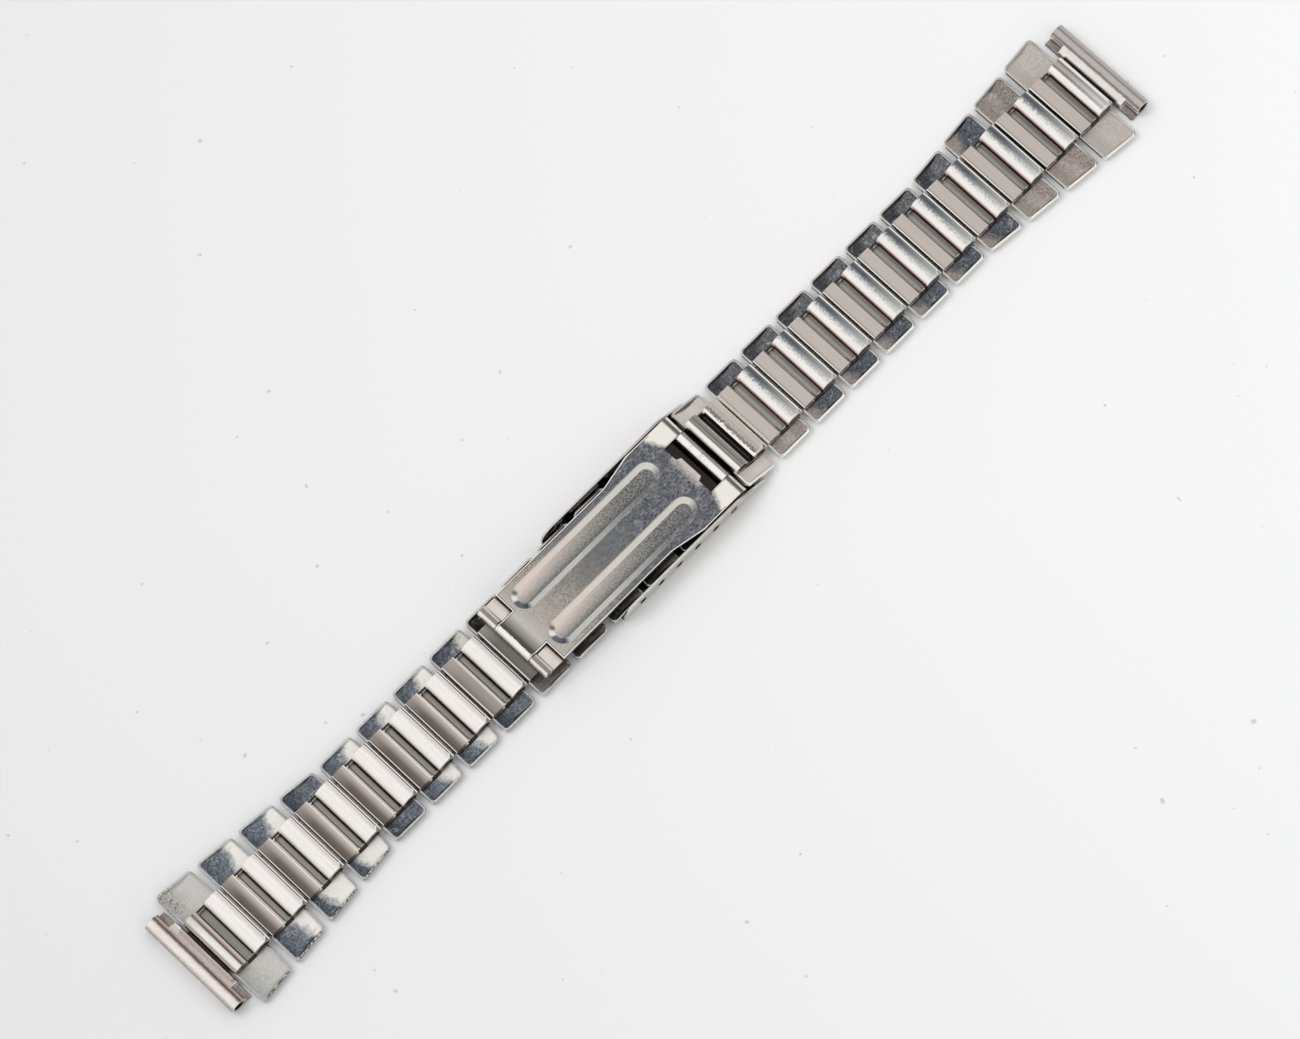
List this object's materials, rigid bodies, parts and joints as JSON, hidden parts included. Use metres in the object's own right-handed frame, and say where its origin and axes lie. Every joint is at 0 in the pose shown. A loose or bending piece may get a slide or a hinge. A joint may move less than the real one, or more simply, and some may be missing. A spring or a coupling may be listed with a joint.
{
  "type": "watch bracelet",
  "caption": "Folded sheet-steel watch bracelet with hinged links, widening ends, lug tubes and a fold-over clasp with an adjusting spring bar.",
  "frame": {"origin": "under the middle of the bracelet's length, on the plane that its outer face rests on", "axes": "+X along the bracelet towards the end by the clasp's ears, +Y across it, +Z from the outer face to the wrist side"},
  "size_m": [0.1934, 0.022, 0.0047],
  "materials": {
    "polished_links": "polished folded steel sheet with fine wear scratches",
    "brushed_sheet": "lightly brushed inner sheet",
    "clasp_steel": "polished clasp sheet with mottled fine scratches",
    "pin_steel": "plain drawn steel wire",
    "tip_brass": "bare copper-coloured metal"
  },
  "bodies": {
    "cover": {"clasp_cover": "clasp_steel", "cover_hinge_pin": "pin_steel", "spring_bar_barrel": "pin_steel", "spring_bar_spring": "pin_steel"},
    "tip_front": {"spring_bar_tip_front": "tip_brass"},
    "tip_back": {"spring_bar_tip_back": "tip_brass"},
    "blade_low": {"lower_blade": "clasp_steel", "blade_hinge_pin": "pin_steel"},
    "blade_up": {"upper_blade": "clasp_steel", "ear_pin": "pin_steel"},
    "clip_l": {"clip_left": "polished_links"},
    "clip_r": {"clip_right": "polished_links"},
    "l13": {"link_l13": "polished_links", "connector_l13": "brushed_sheet"},
    "l12": {"link_l12": "polished_links", "connector_l12": "brushed_sheet"},
    "l11": {"link_l11": "polished_links", "connector_l11": "brushed_sheet"},
    "l10": {"link_l10": "polished_links", "connector_l10": "brushed_sheet"},
    "l09": {"link_l09": "polished_links", "connector_l09": "brushed_sheet"},
    "l08": {"link_l08": "polished_links", "connector_l08": "brushed_sheet"},
    "l07": {"link_l07": "polished_links", "connector_l07": "brushed_sheet"},
    "l06": {"link_l06": "polished_links", "connector_l06": "brushed_sheet"},
    "l05": {"link_l05": "polished_links", "connector_l05": "brushed_sheet"},
    "l04": {"link_l04": "polished_links", "connector_l04": "brushed_sheet"},
    "l03": {"link_l03": "polished_links", "connector_l03": "brushed_sheet"},
    "l02": {"link_l02": "polished_links", "connector_l02": "brushed_sheet"},
    "l01": {"link_l01": "polished_links"},
    "end_l": {"end_piece_left": "polished_links"},
    "r01": {"link_r01": "polished_links"},
    "r02": {"link_r02": "polished_links", "connector_r02": "brushed_sheet"},
    "r03": {"link_r03": "polished_links", "connector_r03": "brushed_sheet"},
    "r04": {"link_r04": "polished_links", "connector_r04": "brushed_sheet"},
    "r05": {"link_r05": "polished_links", "connector_r05": "brushed_sheet"},
    "r06": {"link_r06": "polished_links", "connector_r06": "brushed_sheet"},
    "r07": {"link_r07": "polished_links", "connector_r07": "brushed_sheet"},
    "r08": {"link_r08": "polished_links", "connector_r08": "brushed_sheet"},
    "r09": {"link_r09": "polished_links", "connector_r09": "brushed_sheet"},
    "r10": {"link_r10": "polished_links", "connector_r10": "brushed_sheet"},
    "r11": {"link_r11": "polished_links", "connector_r11": "brushed_sheet"},
    "end_r": {"end_piece_right": "polished_links"}
  },
  "joints": [
    {"name": "cover_hinge", "type": "hinge", "parent": "cover", "child": "blade_low", "pos_m": [0.01138, 0, 0.00112], "axis": [0, 1, 0], "range_deg": [0, 90]},
    {"name": "blade_hinge", "type": "hinge", "parent": "blade_low", "child": "blade_up", "pos_m": [-0.02992, 0, 0.00382], "axis": [0, -1, 0], "range_deg": [0, 165]},
    {"name": "clip_r_pivot", "type": "hinge", "parent": "blade_up", "child": "clip_r", "pos_m": [0.00928, 0, 0.00341], "axis": [0, -1, 0], "range_deg": [0, 20]},
    {"name": "r01_pivot", "type": "hinge", "parent": "clip_r", "child": "r01", "pos_m": [0.01208, 0, 0.00314], "axis": [0, -1, 0], "range_deg": [-4, 30]},
    {"name": "r02_pivot", "type": "hinge", "parent": "r01", "child": "r02", "pos_m": [0.01615, 0, 0.00135], "axis": [0, -1, 0], "range_deg": [-27, 1]},
    {"name": "r03_pivot", "type": "hinge", "parent": "r02", "child": "r03", "pos_m": [0.02365, 0, 0.00135], "axis": [0, -1, 0], "range_deg": [-4, 20]},
    {"name": "r04_pivot", "type": "hinge", "parent": "r03", "child": "r04", "pos_m": [0.03115, 0, 0.00135], "axis": [0, -1, 0], "range_deg": [-4, 20]},
    {"name": "r05_pivot", "type": "hinge", "parent": "r04", "child": "r05", "pos_m": [0.03865, 0, 0.00135], "axis": [0, -1, 0], "range_deg": [-4, 20]},
    {"name": "r06_pivot", "type": "hinge", "parent": "r05", "child": "r06", "pos_m": [0.04615, 0, 0.00135], "axis": [0, -1, 0], "range_deg": [-4, 20]},
    {"name": "r07_pivot", "type": "hinge", "parent": "r06", "child": "r07", "pos_m": [0.05365, 0, 0.00135], "axis": [0, -1, 0], "range_deg": [-4, 20]},
    {"name": "r08_pivot", "type": "hinge", "parent": "r07", "child": "r08", "pos_m": [0.06115, 0, 0.00135], "axis": [0, -1, 0], "range_deg": [-4, 20]},
    {"name": "r09_pivot", "type": "hinge", "parent": "r08", "child": "r09", "pos_m": [0.06865, 0, 0.00135], "axis": [0, -1, 0], "range_deg": [-4, 20]},
    {"name": "r10_pivot", "type": "hinge", "parent": "r09", "child": "r10", "pos_m": [0.07615, 0, 0.00135], "axis": [0, -1, 0], "range_deg": [-4, 20]},
    {"name": "r11_pivot", "type": "hinge", "parent": "r10", "child": "r11", "pos_m": [0.08365, 0, 0.00135], "axis": [0, -1, 0], "range_deg": [-4, 20]},
    {"name": "end_r_pivot", "type": "hinge", "parent": "r11", "child": "end_r", "pos_m": [0.09115, 0, 0.00135], "axis": [0, -1, 0], "range_deg": [-4, 20]},
    {"name": "clip_l_pivot", "type": "hinge", "parent": "cover", "child": "clip_l", "pos_m": [0.00698, 0, 0.00185], "axis": [0, 1, 0], "range_deg": [0, 0.3]},
    {"name": "l13_pivot", "type": "hinge", "parent": "clip_l", "child": "l13", "pos_m": [0.00328, 0, 0.00185], "axis": [0, 1, 0], "range_deg": [0, 0.3]},
    {"name": "l12_pivot", "type": "hinge", "parent": "l13", "child": "l12", "pos_m": [-0.00422, 0, 0.00185], "axis": [0, 1, 0], "range_deg": [0, 0.4]},
    {"name": "l11_pivot", "type": "hinge", "parent": "l12", "child": "l11", "pos_m": [-0.01172, 0, 0.00185], "axis": [0, 1, 0], "range_deg": [0, 0.5]},
    {"name": "l10_pivot", "type": "hinge", "parent": "l11", "child": "l10", "pos_m": [-0.01922, 0, 0.00185], "axis": [0, 1, 0], "range_deg": [0, 0.5]},
    {"name": "l09_pivot", "type": "hinge", "parent": "l10", "child": "l09", "pos_m": [-0.0267, 0, 0.00135], "axis": [0, 1, 0], "range_deg": [-4, 0]},
    {"name": "l08_pivot", "type": "hinge", "parent": "l09", "child": "l08", "pos_m": [-0.0342, 0, 0.00135], "axis": [0, 1, 0], "range_deg": [-4, 20]},
    {"name": "l07_pivot", "type": "hinge", "parent": "l08", "child": "l07", "pos_m": [-0.0417, 0, 0.00135], "axis": [0, 1, 0], "range_deg": [-4, 20]},
    {"name": "l06_pivot", "type": "hinge", "parent": "l07", "child": "l06", "pos_m": [-0.0492, 0, 0.00135], "axis": [0, 1, 0], "range_deg": [-4, 20]},
    {"name": "l05_pivot", "type": "hinge", "parent": "l06", "child": "l05", "pos_m": [-0.0567, 0, 0.00135], "axis": [0, 1, 0], "range_deg": [-4, 20]},
    {"name": "l04_pivot", "type": "hinge", "parent": "l05", "child": "l04", "pos_m": [-0.0642, 0, 0.00135], "axis": [0, 1, 0], "range_deg": [-4, 20]},
    {"name": "l03_pivot", "type": "hinge", "parent": "l04", "child": "l03", "pos_m": [-0.0717, 0, 0.00135], "axis": [0, 1, 0], "range_deg": [-4, 20]},
    {"name": "l02_pivot", "type": "hinge", "parent": "l03", "child": "l02", "pos_m": [-0.0792, 0, 0.00135], "axis": [0, 1, 0], "range_deg": [-4, 20]},
    {"name": "l01_pivot", "type": "hinge", "parent": "l02", "child": "l01", "pos_m": [-0.0867, 0, 0.00135], "axis": [0, 1, 0], "range_deg": [-4, 20]},
    {"name": "end_l_pivot", "type": "hinge", "parent": "l01", "child": "end_l", "pos_m": [-0.09115, 0, 0.00135], "axis": [0, 1, 0], "range_deg": [-4, 20]},
    {"name": "tip_front_slide", "type": "slide", "parent": "cover", "child": "tip_front", "axis": [0, 1, 0], "range_m": [0, 0.0009], "stiffness_N_per_m": 400},
    {"name": "tip_back_slide", "type": "slide", "parent": "cover", "child": "tip_back", "axis": [0, -1, 0], "range_m": [0, 0.0009], "stiffness_N_per_m": 400}
  ]
}
